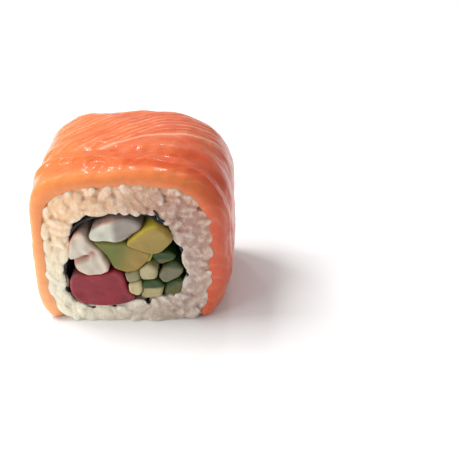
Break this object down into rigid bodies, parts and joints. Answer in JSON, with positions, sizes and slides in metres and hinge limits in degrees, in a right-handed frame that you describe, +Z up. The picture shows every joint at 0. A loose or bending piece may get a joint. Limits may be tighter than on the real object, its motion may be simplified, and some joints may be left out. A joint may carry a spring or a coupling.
{
  "type": "sushi roll piece",
  "caption": "Piece of an inside-out sushi roll wrapped in raw salmon, lying on its side, with its rice, nori and fillings showing at the cut faces.",
  "frame": {"origin": "on the surface that the piece lies on, below the middle of its box", "axes": "+X to the right across the front cut face, +Y along the roll from the front cut to the back one, +Z up"},
  "size_m": [0.0454, 0.0334, 0.0401],
  "materials": {
    "rice": "moist cooked rice, translucent at the edges of its grains",
    "nori": "dark seaweed sheet, slightly crinkled",
    "salmon": "wet raw salmon with pale lines of fat",
    "crab_stick": "moist white fish paste, stained red at its edges",
    "avocado": "ripe avocado flesh, green towards its skin",
    "tuna": "moist raw tuna",
    "cucumber": "moist cucumber flesh, dark green where its skin shows"
  },
  "bodies": {
    "root": {"rice": "rice", "nori": "nori", "salmon_front": "salmon", "salmon_back": "salmon", "crab_stick_top": "crab_stick", "crab_stick_left": "crab_stick", "avocado_middle": "avocado", "avocado_right": "avocado", "tuna": "tuna", "cucumber_1": "cucumber", "cucumber_2": "cucumber", "cucumber_3": "cucumber", "cucumber_4": "cucumber", "cucumber_5": "cucumber", "cucumber_6": "cucumber", "cucumber_7": "cucumber"}
  },
  "joints": []
}
